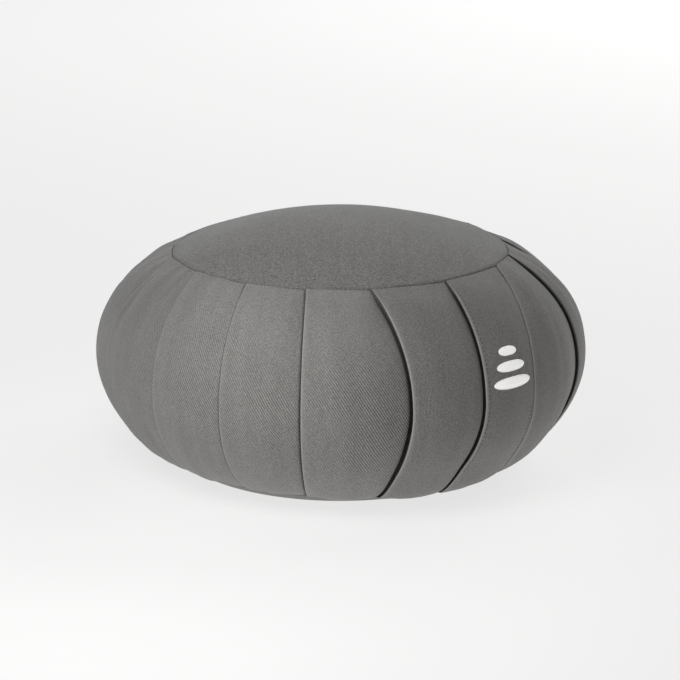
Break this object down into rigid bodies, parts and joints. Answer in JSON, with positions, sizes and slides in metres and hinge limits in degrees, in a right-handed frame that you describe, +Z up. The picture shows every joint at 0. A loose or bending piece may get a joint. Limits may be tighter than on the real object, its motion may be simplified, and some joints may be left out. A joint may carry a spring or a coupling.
{
  "type": "zafu meditation cushion",
  "caption": "Round hard-filled meditation cushion: pleated side band, crowned top round, flat base and a small embroidered motif.",
  "frame": {"origin": "middle of the flat resting face, under the crown", "axes": "+Z up through the crown, -Y towards the side that carries the motif's front view, +X to that view's right"},
  "size_m": [0.3314, 0.3326, 0.1648],
  "materials": {
    "twill_side": "matte cotton twill",
    "twill_top": "matte cotton twill",
    "twill_bottom": "matte cotton twill",
    "white_thread": "satin-stitched thread"
  },
  "bodies": {
    "root": {"cushion_body": "twill_side", "top_panel": "twill_top", "bottom_panel": "twill_bottom", "motif_pebble_low": "white_thread", "motif_pebble_mid": "white_thread", "motif_pebble_top": "white_thread"}
  },
  "joints": []
}
